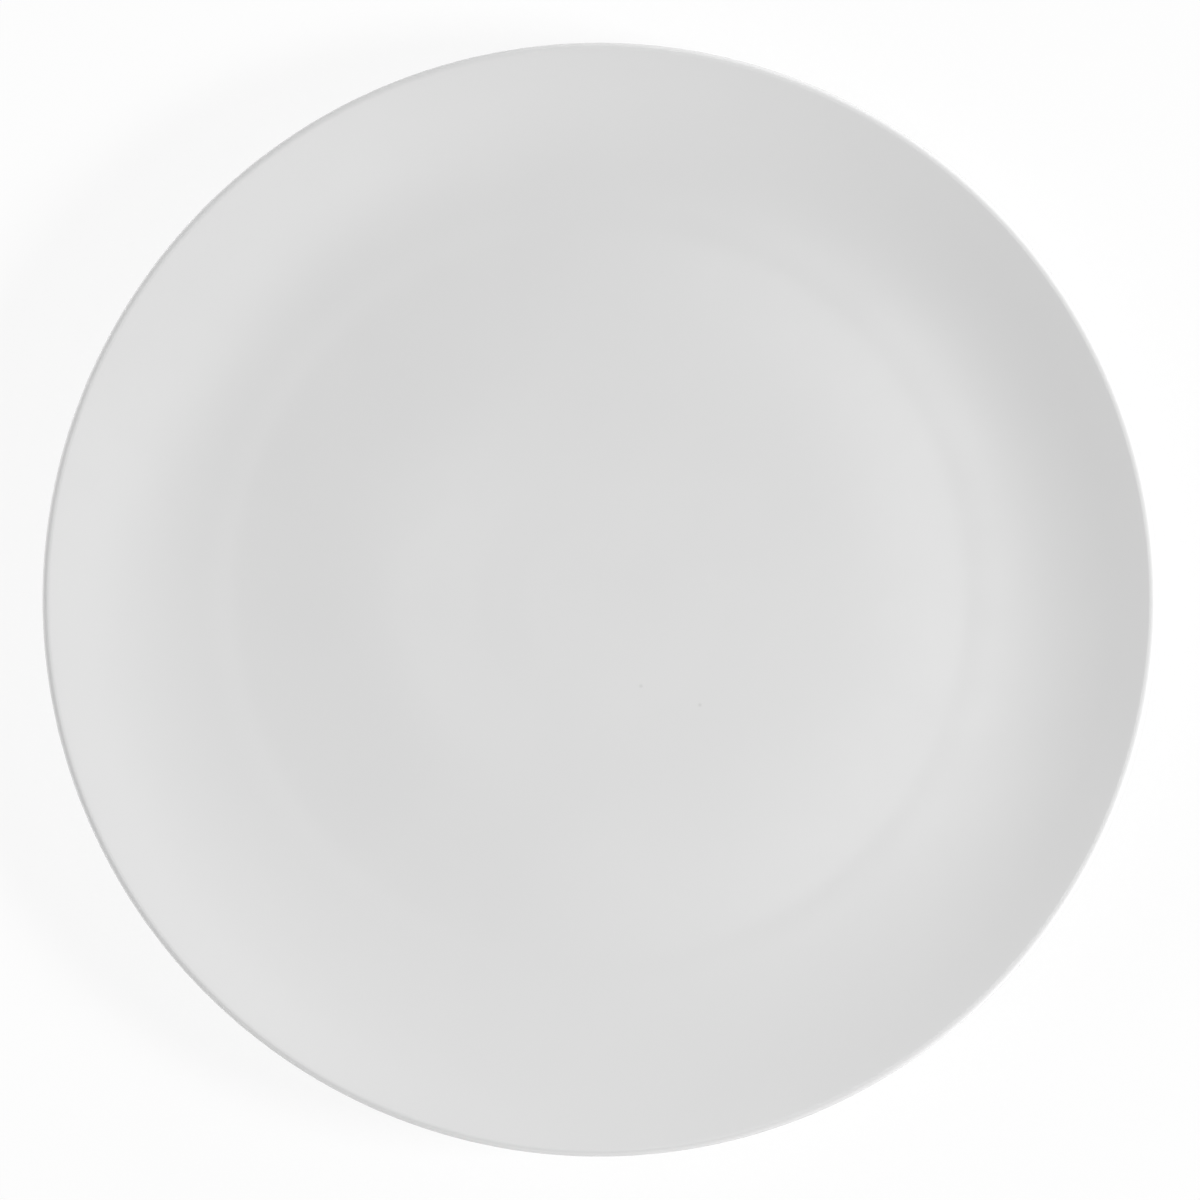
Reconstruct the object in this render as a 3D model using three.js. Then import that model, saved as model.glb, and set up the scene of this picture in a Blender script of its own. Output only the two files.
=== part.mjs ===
// Charger plate: a wide, shallow coupe plate of white stoneware.
// One clay body is pressed and fired, then dipped in a satin glaze. The glaze is sponged off the foot's
// standing face, so it sets as two coats: one over the face, lip and back, and one inside the foot ring.
// Millimetres, +Z up. The origin is on the table, on the plate's axis.
import * as THREE from "three";

// Size over the glaze, and the coat itself
const plateDiameter = 320;
const glazeThickness = 0.35;
const bondGap = 0.05; // hairline between clay and coat

// Face of the clay, in rings. The floor is set by its radius and the rings outside it by their widths,
// from the lip inwards, so the slow rise between floor and crease takes up a change of diameter.
const floorRadius = 54;
const creaseWidth = 5;
const shoulderWidth = 6.5;
const wallWidth = 34;
const rimWidth = 10;
const riseAngle = 8.5; // slope in degrees where the slow rise meets the crease
const shoulderAngle = 10.6;
const rimAngle = 18.5;

// Thickness of the clay
const floorThickness = 5;
const lipRadius = 1.3; // round nose of the lip
const backAngle = 22; // slope of the back where it meets the lip

// Foot ring and the recess inside it
const recessHeight = 3.2; // clay above the table, at the axis
const recessAngle = 2.6; // slope of the recess where it meets the foot
const footInset = 4; // from the crease's inner edge in to the middle of the standing face
const footFaceWidth = 2.4; // flat standing face, between its rounded edges
const footEdgeRadius = 1.2;
const footRootRadius = 2.5; // hollow where the foot meets the plate, on both sides
const footHeight = 6.5; // back of the plate above the table, just outside the foot
const footRootAngle = 14; // slope of the back there
const wipeHeight = 1.9; // the foot is bare up to here

// Facets round the axis, and along each curve of the section
const turnFacets = 72;
const riseFacets = 4;
const wallFacets = 3;
const lipFacets = 3; // below the widest point of the lip, and again from there to its highest
const backFacets = 5;
const rootFacets = 2;
const edgeFacets = 2;
const recessFacets = 3;

const { degToRad } = THREE.MathUtils;
const outwards = 0;
const upwards = Math.PI / 2;
const downwards = -Math.PI / 2;
const inwards = Math.PI;

// A pen draws half of the clay's section, in radius and height, with the clay on its left.
// Each point keeps the outward normal that the glaze grows along.
const pen = { radius: 0, height: recessHeight, heading: outwards };
const section = [];

function mark() {
  section.push({
    place: new THREE.Vector2(pen.radius, pen.height),
    normal: new THREE.Vector2(Math.sin(pen.heading), -Math.cos(pen.heading)),
  });
}

// An arc round to another heading. It swings left with a positive radius and right with a negative one.
function swing(arcRadius, heading, facets) {
  const centreRadius = pen.radius - arcRadius * Math.sin(pen.heading);
  const centreHeight = pen.height + arcRadius * Math.cos(pen.heading);
  const turn = (heading - pen.heading) / facets;
  for (let facet = 0; facet < facets; facet += 1) {
    pen.heading += turn;
    pen.radius = centreRadius + arcRadius * Math.sin(pen.heading);
    pen.height = centreHeight - arcRadius * Math.cos(pen.heading);
    mark();
  }
}

function runToHeight(height) {
  pen.radius += (height - pen.height) / Math.tan(pen.heading);
  pen.height = height;
  mark();
}

function runToRadius(radius) {
  pen.height += (radius - pen.radius) * Math.tan(pen.heading);
  pen.radius = radius;
  mark();
}

// A smooth curve to another place and heading, with its handles a third of the way along.
function sweepTo(radius, height, heading, facets) {
  const start = new THREE.Vector2(pen.radius, pen.height);
  const end = new THREE.Vector2(radius, height);
  const reach = start.distanceTo(end) / 3;
  const leave = new THREE.Vector2(Math.cos(pen.heading), Math.sin(pen.heading)).multiplyScalar(reach);
  const arrive = new THREE.Vector2(Math.cos(heading), Math.sin(heading)).multiplyScalar(reach);
  const curve = new THREE.CubicBezierCurve(start, start.clone().add(leave), end.clone().sub(arrive), end);
  for (let facet = 1; facet <= facets; facet += 1) {
    const place = curve.getPoint(facet / facets);
    pen.radius = place.x;
    pen.height = place.y;
    pen.heading = curve.getTangent(facet / facets).angle();
    mark();
  }
}

// Radii that the rings of the face work out to
const clayRadius = plateDiameter / 2 - glazeThickness - bondGap;
const noseRadius = clayRadius - lipRadius;
const rimOuterRadius = noseRadius - lipRadius * Math.sin(degToRad(rimAngle));
const wellRadius = rimOuterRadius - rimWidth - wallWidth - shoulderWidth - creaseWidth;

// The rings from the lip inwards, each with the slope at its inner edge
const faceRings = [
  { width: rimWidth, angle: degToRad(rimAngle), facets: 1 },
  { width: wallWidth, angle: degToRad(shoulderAngle), facets: wallFacets },
  { width: shoulderWidth, angle: degToRad(shoulderAngle), facets: 1 },
  { width: creaseWidth, angle: degToRad(riseAngle), facets: 1 },
  { width: wellRadius - floorRadius, angle: 0, facets: riseFacets },
];

// An arc climbs its width times the tangent of its mean slope.
let rimOuterHeight = recessHeight + floorThickness;
let outerAngle = degToRad(rimAngle);
for (const ring of faceRings) {
  rimOuterHeight += ring.width * Math.tan((outerAngle + ring.angle) / 2);
  outerAngle = ring.angle;
}
const noseHeight = rimOuterHeight - lipRadius * Math.cos(degToRad(rimAngle));

const footRadius = wellRadius - footInset;
const footInnerSide = footRadius - footFaceWidth / 2 - footEdgeRadius;
const recessRadius = footInnerSide - footRootRadius * (1 + Math.sin(degToRad(recessAngle)));

// Recess, from the axis out to the foot
mark();
swing(recessRadius / Math.sin(degToRad(recessAngle)), degToRad(recessAngle), recessFacets);
swing(-footRootRadius, downwards, rootFacets);
runToHeight(wipeHeight);
const recessCoatEnd = section.length;

// Bare foot
runToHeight(footEdgeRadius);
swing(footEdgeRadius, outwards, edgeFacets);
runToRadius(footRadius + footFaceWidth / 2);
swing(footEdgeRadius, upwards, edgeFacets);
const outerCoatStart = section.length;

// Outer side of the foot, back and lip
runToHeight(wipeHeight);
runToHeight(footHeight - footRootRadius * Math.cos(degToRad(footRootAngle)));
swing(-footRootRadius, degToRad(footRootAngle), rootFacets);
sweepTo(
  noseRadius + lipRadius * Math.sin(degToRad(backAngle)),
  noseHeight - lipRadius * Math.cos(degToRad(backAngle)),
  degToRad(backAngle),
  backFacets,
);
swing(lipRadius, upwards, lipFacets);
swing(lipRadius, inwards, lipFacets);
swing(lipRadius, inwards + degToRad(rimAngle), 1);

// Face, from the lip in to the axis
for (const ring of faceRings) {
  const heading = inwards + ring.angle;
  const bend = Math.sin(pen.heading) - Math.sin(heading);
  if (Math.abs(bend) < 1e-9) {
    runToRadius(pen.radius - ring.width);
  } else {
    swing(ring.width / bend, heading, ring.facets);
  }
}
runToRadius(0);

// Turned solids: LatheGeometry turns about Y, and the quarter turn stands it up along Z.
function turned(outline) {
  return new THREE.LatheGeometry(outline, turnFacets).rotateX(Math.PI / 2);
}

// The section's points, or some of them, moved out along their normals
function raised(points, distance) {
  return points.map((point) => point.place.clone().addScaledVector(point.normal, distance));
}

// Each coat is the strip between its bond with the clay and its skin, and both follow the clay's own points.
const recessRun = section.slice(0, recessCoatEnd);
const outerRun = section.slice(outerCoatStart);
const skinHeight = bondGap + glazeThickness;
const recessCoat = [...raised(recessRun, skinHeight), ...raised(recessRun, bondGap).reverse()];
const outerCoat = [...raised(outerRun, bondGap).reverse(), ...raised(outerRun, skinHeight)];

const bisque = new THREE.MeshStandardMaterial({ color: 0xe6ddcd, roughness: 0.85, metalness: 0 });
const faceGlaze = new THREE.MeshStandardMaterial({ color: 0xe2e2e1, roughness: 0.35, metalness: 0 });
const recessGlaze = new THREE.MeshStandardMaterial({ color: 0xdfdfdd, roughness: 0.4, metalness: 0 });

const chargerPlate = new THREE.Group();
chargerPlate.name = "charger_plate";

function addPiece(name, outline, material) {
  const piece = new THREE.Mesh(turned(outline), material);
  piece.name = name;
  chargerPlate.add(piece);
}

addPiece("clay_body", raised(section, 0), bisque);
addPiece("outer_glaze", outerCoat, faceGlaze);
addPiece("recess_glaze", recessCoat, recessGlaze);

export default chargerPlate;
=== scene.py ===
import bpy
import numpy as np
from mathutils import Matrix, Vector


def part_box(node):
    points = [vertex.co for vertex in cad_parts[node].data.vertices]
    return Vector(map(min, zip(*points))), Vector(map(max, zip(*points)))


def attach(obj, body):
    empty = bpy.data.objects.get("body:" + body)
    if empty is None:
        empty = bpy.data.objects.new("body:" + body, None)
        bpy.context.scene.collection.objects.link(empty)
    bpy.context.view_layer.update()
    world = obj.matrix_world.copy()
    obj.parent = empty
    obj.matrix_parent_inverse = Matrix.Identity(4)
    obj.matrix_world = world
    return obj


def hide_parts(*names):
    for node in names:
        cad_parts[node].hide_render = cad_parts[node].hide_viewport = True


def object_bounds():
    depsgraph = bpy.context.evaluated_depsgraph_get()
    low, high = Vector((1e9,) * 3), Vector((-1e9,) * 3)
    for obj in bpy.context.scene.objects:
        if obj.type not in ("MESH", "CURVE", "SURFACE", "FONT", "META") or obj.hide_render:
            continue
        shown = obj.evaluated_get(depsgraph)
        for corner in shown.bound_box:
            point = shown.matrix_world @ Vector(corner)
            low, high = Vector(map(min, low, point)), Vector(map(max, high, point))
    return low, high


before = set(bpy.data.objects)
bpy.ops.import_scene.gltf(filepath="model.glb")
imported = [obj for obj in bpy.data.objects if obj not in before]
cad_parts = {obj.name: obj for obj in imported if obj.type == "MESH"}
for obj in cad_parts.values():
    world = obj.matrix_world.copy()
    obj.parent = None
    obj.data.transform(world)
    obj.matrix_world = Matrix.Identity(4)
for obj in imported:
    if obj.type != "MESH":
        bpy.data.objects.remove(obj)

mm = 0.001
scene = bpy.context.scene
cadLow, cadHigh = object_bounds()    # the CAD model's box, before anything is dressed
glazeLow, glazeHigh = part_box("outer_glaze")
_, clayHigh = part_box("clay_body")
print("frame loaded, plate", round((cadHigh.x - cadLow.x) / mm, 1), "mm wide")

# half section of the clay, in metres and radians: slopes are from level. The crease is crisper
# than the solid's and stands a little further out, and the shoulder outside it eases back
claySizes = {
    "radius": clayHigh.x,
    "floorRadius": 55 * mm,
    "creaseWidth": 4.2 * mm,
    "shoulderWidth": 6.9 * mm,
    "wallWidth": 32.9 * mm,
    "rimWidth": 10 * mm,
    "riseSlope": np.radians(8.35),
    "creaseSlope": np.radians(11.1),
    "shoulderSlope": np.radians(10.6),
    "rimSlope": np.radians(18.9),
    "floorThickness": 5 * mm,
    "lipRadius": 1.3 * mm,
    "backSlope": np.radians(22),
    "recessHeight": 3.2 * mm,
    "recessSlope": np.radians(2.6),
    "footInset": 5.5 * mm,
    "footFaceWidth": 2.4 * mm,
    "footEdgeRadius": 1.2 * mm,
    "footRootRadius": 2.5 * mm,
    "footHeight": 6.5 * mm,
    "footRootSlope": np.radians(14),
    "wipeHeight": glazeLow.z,      # the foot is bare below this
    "beadReach": 0.4 * mm,         # finer rows here, for the glaze's rounded edge
}

# rows of points that each stretch of the section gets
sectionRows = {
    "recess": 50,
    "footRoot": 12,
    "footInside": 4,
    "bead": 8,
    "bareSide": 3,
    "footEdge": 8,
    "footFace": 6,
    "footOutside": 8,
    "back": 32,
    "nose": 22,
    "lipTop": 4,
    "rim": 8,
    "wall": 32,
    "shoulder": 6,
    "crease": 10,
    "rise": 44,
    "floor": 40,
}


# an arc from the line's last point and heading round to another heading: it swings left with a
# positive radius and right with a negative one
def bendTo(line, arcRadius, heading, steps):
    radius, height, start = line[:, -1]
    turn = np.linspace(start, heading, steps + 1)[1:]
    arc = [
        radius + arcRadius * (np.sin(turn) - np.sin(start)),
        height + arcRadius * (np.cos(start) - np.cos(turn)),
        turn,
    ]
    return np.hstack([line, arc])


# a straight run along the last heading that moves out by the given radius
def runOut(line, reach, steps):
    along = np.linspace(0, reach, steps + 1)[1:]
    radius, height, heading = line[:, -1]
    run = [radius + along, height + along * np.tan(heading), np.full(steps, heading)]
    return np.hstack([line, run])


# a straight run up or down to a height, for a line that is heading that way
def runUp(line, height, steps):
    along = np.linspace(line[1, -1], height, steps + 1)[1:]
    run = [np.full(steps, line[0, -1]), along, np.full(steps, line[2, -1])]
    return np.hstack([line, run])


# a cubic curve to another point and heading, with handles a third of the chord long
def sweepTo(line, end, heading, steps):
    start, leave = line[:2, -1], line[2, -1]
    reach = np.hypot(*(end - start)) / 3
    leaveHandle = start + reach * np.array([np.cos(leave), np.sin(leave)])
    arriveHandle = end - reach * np.array([np.cos(heading), np.sin(heading)])
    t = np.linspace(0, 1, steps + 1)[1:]
    weights = np.stack([(1 - t) ** 3, 3 * t * (1 - t) ** 2, 3 * t ** 2 * (1 - t), t ** 3])
    handles = np.stack([start, leaveHandle, arriveHandle, end], axis=1)
    slopes = np.stack([(1 - t) ** 2, 2 * t * (1 - t), t ** 2])
    tangent = np.diff(handles, axis=1) @ slopes
    return np.hstack([line, np.vstack([handles @ weights, np.arctan2(tangent[1], tangent[0])])])


# the whole half section, from the axis under the plate round the foot, back and lip to the axis
# on the face: rows of radius, height, heading and whether the point is on the face
def claySection(s, rows):
    noseRadius = s["radius"] - s["lipRadius"]
    rimOuter = noseRadius - s["lipRadius"] * np.sin(s["rimSlope"])
    rings = [      # from the lip inwards: width, slope at the inner edge, rows
        (s["rimWidth"], s["rimSlope"], rows["rim"]),
        (s["wallWidth"], s["shoulderSlope"], rows["wall"]),
        (s["shoulderWidth"], s["creaseSlope"], rows["shoulder"]),
        (s["creaseWidth"], s["riseSlope"], rows["crease"]),
    ]
    wellRadius = rimOuter - sum(width for width, slope, steps in rings)
    rings.append((wellRadius - s["floorRadius"], 0, rows["rise"]))
    widths, slopes, _ = np.array(rings).T
    outerSlopes = np.concatenate([[s["rimSlope"]], slopes[:-1]])
    climbs = widths * np.tan((outerSlopes + slopes) / 2)     # an arc climbs by its mean slope
    rimHeight = s["recessHeight"] + s["floorThickness"] + climbs.sum()
    noseHeight = rimHeight - s["lipRadius"] * np.cos(s["rimSlope"])
    footRadius = wellRadius - s["footInset"]
    footSide = footRadius - s["footFaceWidth"] / 2 - s["footEdgeRadius"]
    recessRadius = footSide - s["footRootRadius"] * (1 + np.sin(s["recessSlope"]))
    recessArc = recessRadius / np.sin(s["recessSlope"])
    rootHeight = s["footHeight"] - s["footRootRadius"] * np.cos(s["footRootSlope"])

    line = np.array([[0.0], [s["recessHeight"]], [0.0]])
    line = bendTo(line, recessArc, s["recessSlope"], rows["recess"])
    line = bendTo(line, -s["footRootRadius"], -np.pi / 2, rows["footRoot"])
    line = runUp(line, s["wipeHeight"] + s["beadReach"], rows["footInside"])
    line = runUp(line, s["wipeHeight"], rows["bead"])
    recessEnd = line.shape[1]
    line = runUp(line, s["footEdgeRadius"], rows["bareSide"])
    line = bendTo(line, s["footEdgeRadius"], 0, rows["footEdge"])
    line = runOut(line, s["footFaceWidth"], rows["footFace"])
    line = bendTo(line, s["footEdgeRadius"], np.pi / 2, rows["footEdge"])
    line = runUp(line, s["wipeHeight"], rows["bareSide"])
    outerStart = line.shape[1] - 1
    line = runUp(line, s["wipeHeight"] + s["beadReach"], rows["bead"])
    line = runUp(line, rootHeight, rows["footOutside"])
    line = bendTo(line, -s["footRootRadius"], s["footRootSlope"], rows["footRoot"])
    nose = np.array([noseRadius, noseHeight])
    noseEnd = nose + s["lipRadius"] * np.array([np.sin(s["backSlope"]), -np.cos(s["backSlope"])])
    line = sweepTo(line, noseEnd, s["backSlope"], rows["back"])
    line = bendTo(line, s["lipRadius"], np.pi, rows["nose"])
    line = bendTo(line, s["lipRadius"], np.pi + s["rimSlope"], rows["lipTop"])
    faceStart = line.shape[1]
    for (width, slope, steps), outer in zip(rings, outerSlopes):
        if slope == outer:
            line = runOut(line, -width, steps)
        else:
            line = bendTo(line, width / (np.sin(slope) - np.sin(outer)), np.pi + slope, steps)
    line = runOut(line, -line[0, -1], rows["floor"])
    line = np.vstack([line, np.arange(line.shape[1]) >= faceStart])
    return line, {"recessEnd": recessEnd, "outerStart": outerStart}


# points of a section moved out along its normals, which lie a quarter turn right of the heading
def raised(line, distance):
    radius, height, heading, face = line
    outRadius = radius + distance * np.sin(heading)
    outHeight = height - distance * np.cos(heading)
    return np.stack([outRadius, outHeight, face])


# 0 below low, 1 above high, and a smooth cubic between
def smoothStep(value, low, high):
    t = np.clip((value - low) / (high - low), 0, 1)
    return t * t * (3 - 2 * t)


# what the wheel leaves on the face: the crease ring sits off centre, and the middle is lower by
# two soft steps
faceShape = {
    "shift": 1.7 * mm,                     # of the crease ring, towards +Y
    "shiftGrows": (30 * mm, 85 * mm),
    "shiftFades": (118 * mm, 152 * mm),
    "stepRadii": (25.6 * mm, 32.8 * mm),
    "stepWidth": 8 * mm,
    "stepHeight": 0.08 * mm,
}


# sideways shift of a ring of the face: nothing on the floor and the rim, all of it round the crease
def ringShift(radius):
    grown = smoothStep(radius, *faceShape["shiftGrows"])
    return faceShape["shift"] * grown * (1 - smoothStep(radius, *faceShape["shiftFades"]))


# drop of the face inside each turned step
def floorDrop(radius):
    half = faceShape["stepWidth"] / 2
    steps = [1 - smoothStep(radius, step - half, step + half) for step in faceShape["stepRadii"]]
    return faceShape["stepHeight"] * sum(steps)


wipeWave = {
    "height": 0.3 * mm,
    "fade": 1.8 * mm,        # the glaze above the line follows it for this far
    "middle": 0.5,
    "sines": ((3, 1.0, 0.25), (8, 2.3, 0.15), (19, 0.7, 0.1)),     # waves round, start, share
}


# the sponge's line round the foot: three sines of the angle, never below the nominal line
def spongeLine(angle):
    waves = [share * np.sin(count * angle + start) for count, start, share in wipeWave["sines"]]
    return wipeWave["height"] * (wipeWave["middle"] + sum(waves))


onAxis = 1e-7     # a point nearer the axis than this is a pole


# a closed outline turned about Z: each row is carried round the axis, and a point on the axis
# becomes a pole. Lift is the share of the sponge line's height that each row takes
def turnOutline(name, outline, lift=None, turns=240):
    radius, height, face = outline
    height = height - face * floorDrop(radius)
    shift = face * ringShift(radius)
    lift = np.zeros(len(radius)) if lift is None else lift
    pole = radius < onAxis
    rows = np.flatnonzero(~pole)
    angle = np.arange(turns) * 2 * np.pi / turns
    ring = np.stack([
        np.outer(radius[rows], np.cos(angle)),
        np.outer(radius[rows], np.sin(angle)) + shift[rows, None],
        np.outer(lift[rows], spongeLine(angle)) + height[rows, None],
    ], axis=-1).reshape(-1, 3)
    poles = np.stack([np.zeros(pole.sum()), np.zeros(pole.sum()), height[pole]], axis=-1)
    points = np.vstack([ring, poles])
    step = np.arange(turns)
    after = np.roll(step, -1)
    low = (np.arange(len(rows) - 1) * turns)[:, None]
    high = low + turns
    end = (len(rows) - 1) * turns
    quads = np.stack([low + step, low + after, high + after, high + step], axis=-1)
    faces = quads.reshape(-1, 4).tolist()
    if pole.any():
        first, last = len(ring), len(ring) + 1
        faces += np.stack([np.full(turns, first), after, step], axis=-1).tolist()
        faces += np.stack([end + step, end + after, np.full(turns, last)], axis=-1).tolist()
    else:
        faces += np.stack([end + step, end + after, after, step], axis=-1).tolist()
    mesh = bpy.data.meshes.new(name)
    mesh.from_pydata(points.tolist(), [], faces)
    mesh.shade_smooth()
    piece = bpy.data.objects.new(name, mesh)
    scene.collection.objects.link(piece)
    return piece


coatSizes = {
    "bond": 0.05 * mm,                         # hairline between clay and coat
    "skin": glazeHigh.x - clayHigh.x,          # outside of the coat, from the clay
    "bead": 0.35 * mm,                         # the coat's edge rounds off over this
    "beadShare": 0.98,                         # of the quarter round, so that it ends blunt
    "innerStep": 2,                            # fewer rows on the bond, where nothing shows
}


# a coat's section: its bond with the clay, then its skin, which thins to a quarter round at the
# wiped edge. Edge is each point's distance along the section from that edge
def coatOutline(run, edge):
    bond, skin = coatSizes["bond"], coatSizes["skin"]
    rounding = np.clip(1 - edge / coatSizes["bead"], 0, coatSizes["beadShare"])
    fullness = np.sqrt(1 - rounding ** 2)
    lift = 1 - smoothStep(edge, 0, wipeWave["fade"])
    count = run.shape[1]
    inner = np.unique(np.r_[0:count:coatSizes["innerStep"], count - 1])[::-1]
    outline = np.hstack([
        raised(run[:, inner], bond),
        raised(run, bond + (skin - bond) * fullness),
    ])
    return outline, np.concatenate([lift[inner], lift])


# distance along a section: the running sum of the steps between its points
def lengthAlong(run):
    return np.concatenate([[0], np.cumsum(np.hypot(np.diff(run[0]), np.diff(run[1])))])


section, marks = claySection(claySizes, sectionRows)
outerRun = section[:, marks["outerStart"]:]
recessRun = section[:, :marks["recessEnd"]]
recessLength = lengthAlong(recessRun)
glazeCoat = turnOutline("glazeCoat", *coatOutline(outerRun, lengthAlong(outerRun)))
recessCoat = turnOutline("recessCoat", *coatOutline(recessRun, recessLength[-1] - recessLength))
clayBody = turnOutline("clayBody", raised(section, 0))
print("plate turned, section of", section.shape[1], "points,",
      "glaze of", len(glazeCoat.data.polygons), "faces")

for piece, node, slotName in ((glazeCoat, "outer_glaze", "face_glaze"),
                              (recessCoat, "recess_glaze", "recess_glaze"),
                              (clayBody, "clay_body", "bisque")):
    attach(piece, "root")
    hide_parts(node)


def addNode(tree, kind, settings):
    node = tree.nodes.new(kind)
    for name, value in settings.items():
        node.inputs[name].default_value = value
    return node


def addNoise(tree, place, scale, detail):
    noise = addNode(tree, "ShaderNodeTexNoise", {"Scale": scale, "Detail": detail})
    tree.links.new(place.outputs["Object"], noise.inputs["Vector"])
    return noise


def addRamp(tree, source, stops):
    ramp = tree.nodes.new("ShaderNodeValToRGB")
    for element, (position, colour) in zip(ramp.color_ramp.elements, stops):
        element.position = position
        element.color = (*colour, 1)
    tree.links.new(source.outputs["Fac"], ramp.inputs["Fac"])
    return ramp


def addMath(tree, operation, first, second):
    node = tree.nodes.new("ShaderNodeMath")
    node.operation = operation
    tree.links.new(first, node.inputs[0])
    tree.links.new(second, node.inputs[1])
    return node.outputs["Value"]


def addRange(tree, source, fromRange, toRange):
    spread = addNode(tree, "ShaderNodeMapRange", {
        "From Min": fromRange[0],
        "From Max": fromRange[1],
        "To Min": toRange[0],
        "To Max": toRange[1],
    })
    tree.links.new(source, spread.inputs["Value"])
    return spread


# bumps are chained: each takes the last one's normal
def addBumps(tree, shader, layers):
    normal = None
    for source, distance in layers:
        bump = addNode(tree, "ShaderNodeBump", {"Strength": 1, "Distance": distance})
        tree.links.new(source.outputs["Fac"], bump.inputs["Height"])
        if normal:
            tree.links.new(normal, bump.inputs["Normal"])
        normal = bump.outputs["Normal"]
    tree.links.new(normal, shader.inputs["Normal"])


def mixColour(tree, factor, under, colour):
    mix = tree.nodes.new("ShaderNodeMix")
    mix.data_type = "RGBA"
    mix.inputs["B"].default_value = (*colour, 1)
    tree.links.new(factor, mix.inputs["Factor"])
    tree.links.new(under, mix.inputs["A"])
    return mix.outputs["Result"]


faceGlazeLook = {
    "tones": ((0.35, (0.76, 0.76, 0.76)), (0.65, (0.767, 0.767, 0.766))),
    "roughness": (0.22, 0.26),
    "peel": 3e-6,            # depth of the fine orange peel
    "swell": 6e-6,           # and of the slow swell under it
    "specks": ((12.1 * mm, -25.1 * mm), (29.2 * mm, -30.6 * mm)),
    "speckRadius": 0.75 * mm,
    "speckColour": (0.66, 0.66, 0.655),
}
recessGlazeLook = {
    "tones": ((0.3, (0.733, 0.73, 0.719)), (0.7, (0.744, 0.742, 0.731))),
    "roughness": (0.24, 0.34),
    "peel": 8e-6,
    "swell": 2e-5,
    "specks": ((-31 * mm, 12 * mm),),
    "speckRadius": 0.6 * mm,
    "speckColour": (0.55, 0.53, 0.5),
}

# scale and detail of both glazes' noises, and the span of the gloss's noise that is used
glazeNoises = {"tone": (24, 4), "gloss": (55, 3), "swell": (60, 2), "peel": (420, 2)}
glossSpan = (0.3, 0.7)


# a satin glaze whose tone and gloss vary a little, with soft round specks
def glazeMaterial(name, look):
    material = bpy.data.materials.new(name)
    material.use_nodes = True
    tree = material.node_tree
    shader = tree.nodes["Principled BSDF"]
    place = tree.nodes.new("ShaderNodeTexCoord")
    toneNoise = addNoise(tree, place, *glazeNoises["tone"])
    colour = addRamp(tree, toneNoise, look["tones"]).outputs["Color"]
    flat = tree.nodes.new("ShaderNodeVectorMath")     # specks show at any height
    flat.operation = "MULTIPLY"
    flat.inputs[1].default_value = (1, 1, 0)
    tree.links.new(place.outputs["Object"], flat.inputs[0])
    for x, y in look["specks"]:
        away = tree.nodes.new("ShaderNodeVectorMath")
        away.operation = "DISTANCE"
        away.inputs[1].default_value = (x, y, 0)
        tree.links.new(flat.outputs["Vector"], away.inputs[0])
        near = addRange(tree, away.outputs["Value"], (0, look["speckRadius"]), (1, 0))
        colour = mixColour(tree, near.outputs["Result"], colour, look["speckColour"])
    tree.links.new(colour, shader.inputs["Base Color"])
    glossNoise = addNoise(tree, place, *glazeNoises["gloss"])
    sheen = addRange(tree, glossNoise.outputs["Fac"], glossSpan, look["roughness"])
    tree.links.new(sheen.outputs["Result"], shader.inputs["Roughness"])
    swell = addNoise(tree, place, *glazeNoises["swell"])
    peel = addNoise(tree, place, *glazeNoises["peel"])
    addBumps(tree, shader, ((swell, look["swell"]), (peel, look["peel"])))
    return material


bisqueLook = {
    "tones": ((0.3, (0.74, 0.675, 0.565)), (0.72, (0.83, 0.775, 0.67))),
    "toneNoise": (160, 5),           # scale and detail
    "wornColour": (0.56, 0.53, 0.48),
    "wornHeight": 0.25 * mm,         # the standing face greys below this
    "roughness": 0.85,
    "grain": 6e-5,
    "grainNoise": (900, 4),
}


# bare clay with a grain, rubbed grey on the standing face
def bisqueMaterial(name, look):
    material = bpy.data.materials.new(name)
    material.use_nodes = True
    tree = material.node_tree
    shader = tree.nodes["Principled BSDF"]
    shader.inputs["Roughness"].default_value = look["roughness"]
    place = tree.nodes.new("ShaderNodeTexCoord")
    grain = addNoise(tree, place, *look["grainNoise"])
    tone = addRamp(tree, addNoise(tree, place, *look["toneNoise"]), look["tones"])
    axes = tree.nodes.new("ShaderNodeSeparateXYZ")
    tree.links.new(place.outputs["Object"], axes.inputs["Vector"])
    low = addRange(tree, axes.outputs["Z"], (0, look["wornHeight"]), (1, 0))
    rubbed = addMath(tree, "MULTIPLY", low.outputs["Result"], grain.outputs["Fac"])
    worn = mixColour(tree, rubbed, tone.outputs["Color"], look["wornColour"])
    tree.links.new(worn, shader.inputs["Base Color"])
    addBumps(tree, shader, ((grain, look["grain"]),))
    return material


glazeCoat.data.materials.append(glazeMaterial("faceGlaze", faceGlazeLook))
recessCoat.data.materials.append(glazeMaterial("recessGlaze", recessGlazeLook))
clayBody.data.materials.append(bisqueMaterial("bisque", bisqueLook))
print("glaze and bisque set")


# 1 for a ray of any of these kinds, 0 for the rest
def raysOf(tree, *kinds):
    path = tree.nodes.new("ShaderNodeLightPath")
    found = path.outputs[kinds[0]]
    for kind in kinds[1:]:
        found = addMath(tree, "MAXIMUM", found, path.outputs[kind])
    return found


# the glow leaves a tenth of the shadow near the plate, and grows to plain white between the two
# distances. Inside the foot a part of it lights the recess, which is otherwise closed off
floorLook = {
    "half": 8,
    "tone": (0.92, 0.92, 0.92),
    "roughness": 0.9,
    "glow": 0.9,
    "glowGrows": (0.25, 0.9),
    "under": 0.6,
    "underFades": (94 * mm, 98 * mm),
}


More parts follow.
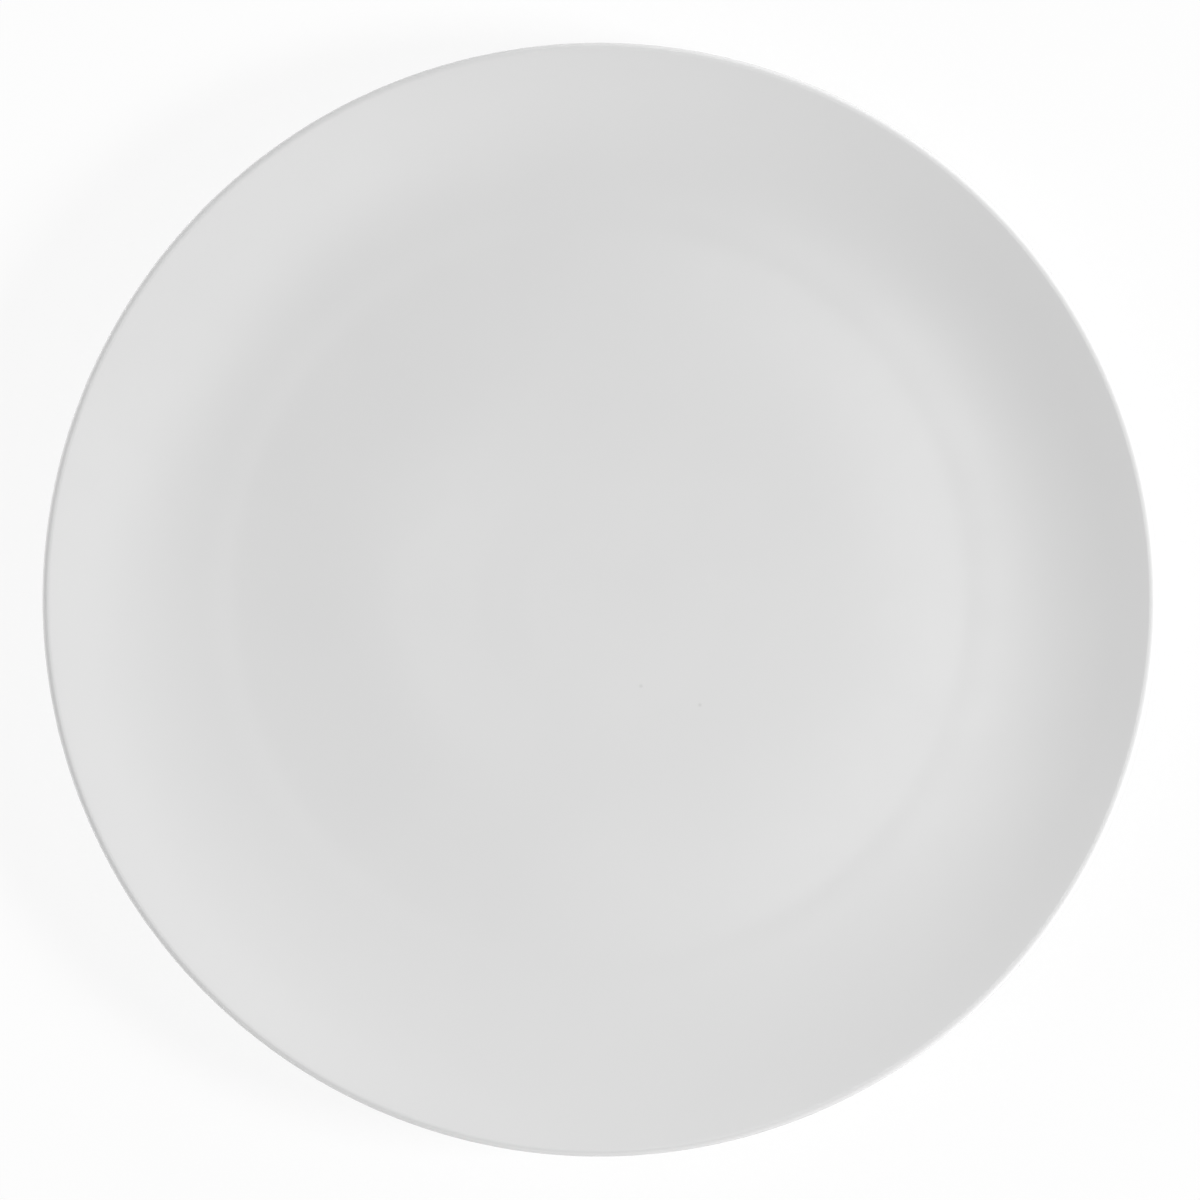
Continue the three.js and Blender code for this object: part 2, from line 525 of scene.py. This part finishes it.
# a white floor that is clear from below, so that the foot can be looked at
def makeFloor(look):
    mesh = bpy.data.meshes.new("floor")
    corners = look["half"] * np.array([(-1, -1, 0), (1, -1, 0), (1, 1, 0), (-1, 1, 0)])
    mesh.from_pydata(corners.tolist(), [], [(0, 1, 2, 3)])
    floor = bpy.data.objects.new("floor", mesh)
    scene.collection.objects.link(floor)
    material = bpy.data.materials.new("floorWhite")
    material.use_nodes = True
    tree = material.node_tree
    shader = tree.nodes["Principled BSDF"]
    shader.inputs["Base Color"].default_value = (*look["tone"], 1)
    shader.inputs["Roughness"].default_value = look["roughness"]
    shader.inputs["Specular IOR Level"].default_value = 0
    glow = addNode(tree, "ShaderNodeEmission", {"Strength": 1})
    seen = raysOf(tree, "Is Camera Ray", "Is Glossy Ray", "Is Transmission Ray")
    place = tree.nodes.new("ShaderNodeTexCoord")
    away = tree.nodes.new("ShaderNodeVectorMath")
    away.operation = "LENGTH"
    tree.links.new(place.outputs["Object"], away.inputs[0])
    white = addRange(tree, away.outputs["Value"], look["glowGrows"], (look["glow"], 1))
    under = addRange(tree, away.outputs["Value"], look["underFades"], (look["under"], 0))
    share = addMath(tree, "MULTIPLY", seen, white.outputs["Result"])
    share = addMath(tree, "MAXIMUM", share, under.outputs["Result"])
    lit = tree.nodes.new("ShaderNodeMixShader")
    tree.links.new(share, lit.inputs[0])
    tree.links.new(shader.outputs["BSDF"], lit.inputs[1])
    tree.links.new(glow.outputs["Emission"], lit.inputs[2])
    side = tree.nodes.new("ShaderNodeNewGeometry")
    clear = tree.nodes.new("ShaderNodeBsdfTransparent")
    both = tree.nodes.new("ShaderNodeMixShader")
    tree.links.new(side.outputs["Backfacing"], both.inputs[0])
    tree.links.new(lit.outputs["Shader"], both.inputs[1])
    tree.links.new(clear.outputs["BSDF"], both.inputs[2])
    tree.links.new(both.outputs["Shader"], tree.nodes["Material Output"].inputs["Surface"])
    material.cycles.emission_sampling = "NONE"     # rays find the glow, but it isn't a lamp
    mesh.materials.append(material)
    return floor


makeFloor(floorLook)

# heights of the direction where the walls end and the top starts, and the top's level
tentLook = {"wallTop": 0.5, "topStart": 0.75, "top": 0.25}


# a white tent round the plate, with a dim top: the camera sees it white, reflections see it as it
# is, and all plain light comes from the lamps
def makeTent(look):
    world = bpy.data.worlds.new("tent")
    scene.world = world
    world.use_nodes = True
    tree = world.node_tree
    place = tree.nodes.new("ShaderNodeTexCoord")
    axes = tree.nodes.new("ShaderNodeSeparateXYZ")
    tree.links.new(place.outputs["Generated"], axes.inputs["Vector"])
    level = addRange(tree, axes.outputs["Z"], (look["wallTop"], look["topStart"]), (1, look["top"]))
    mirrored = raysOf(tree, "Is Glossy Ray", "Is Transmission Ray")
    reflected = addMath(tree, "MULTIPLY", level.outputs["Result"], mirrored)
    strength = addMath(tree, "MAXIMUM", reflected, raysOf(tree, "Is Camera Ray"))
    tent = tree.nodes["Background"]
    tent.inputs["Color"].default_value = (1, 1, 1, 1)
    tree.links.new(strength, tent.inputs["Strength"])


makeTent(tentLook)

# panels round the plate: degrees from straight up and round from +X, metres away, width and
# height, watts, and whether the glaze mirrors the panel
lampSets = {
    "overhead": {
        "zenith": 9.3, "azimuth": 183, "away": 1.6,
        "size": (0.55, 0.36), "watts": 2.1, "mirrored": True,
    },
    "right": {
        "zenith": 26, "azimuth": -34, "away": 2.5,
        "size": (1.35, 0.5), "watts": 3.7, "mirrored": True,
    },
    "key": {
        "zenith": 58, "azimuth": -8, "away": 2.5,
        "size": (0.7, 0.6), "watts": 71.5, "mirrored": False,
    },
    "lowBack": {
        "zenith": 80, "azimuth": 98, "away": 2.5,
        "size": (0.7, 0.6), "watts": 33.7, "mirrored": False,
    },
    "lowLeft": {
        "zenith": 80, "azimuth": 202, "away": 2.5,
        "size": (0.7, 0.6), "watts": 38.5, "mirrored": False,
    },
}


def addLamp(name, lampSet):
    zenith, azimuth = np.radians(lampSet["zenith"]), np.radians(lampSet["azimuth"])
    outwards = np.sin(zenith)
    aim = Vector((outwards * np.cos(azimuth), outwards * np.sin(azimuth), np.cos(zenith)))
    across = Vector((-np.sin(azimuth), np.cos(azimuth), 0))
    turn = Matrix((across, aim.cross(across), aim)).transposed()
    data = bpy.data.lights.new(name, "AREA")
    data.shape = "RECTANGLE"
    data.size, data.size_y = lampSet["size"]
    data.energy = lampSet["watts"]
    lamp = bpy.data.objects.new(name, data)
    lamp.matrix_world = Matrix.Translation(aim * lampSet["away"]) @ turn.to_4x4()
    lamp.visible_camera = False
    lamp.visible_glossy = lampSet["mirrored"]
    scene.collection.objects.link(lamp)


for name, lampSet in lampSets.items():
    addLamp(name, lampSet)
print("floor, tent and", len(lampSets), "lamps set")

# straight overhead: share is how much of the picture's width the plate takes, at the lip's widest
cameraSet = {
    "lens": 150,
    "sensor": 36,
    "share": 1114.1 / 1200,
    "lipDrop": 1.5 * mm,                   # from the plate's top to the lip's widest point
    "place": (0.2 * mm, -0.1 * mm),
}
cameraData = bpy.data.cameras.new("overheadCamera")
cameraData.lens = cameraSet["lens"]
cameraData.sensor_width = cameraSet["sensor"]
camera = bpy.data.objects.new("overheadCamera", cameraData)
frameWidth = (cadHigh.x - cadLow.x) / cameraSet["share"]
cameraReach = frameWidth * cameraSet["lens"] / cameraSet["sensor"]
camera.location = (*cameraSet["place"], glazeHigh.z - cameraSet["lipDrop"] + cameraReach)
scene.collection.objects.link(camera)
scene.camera = camera
scene.view_settings.view_transform = "Standard"
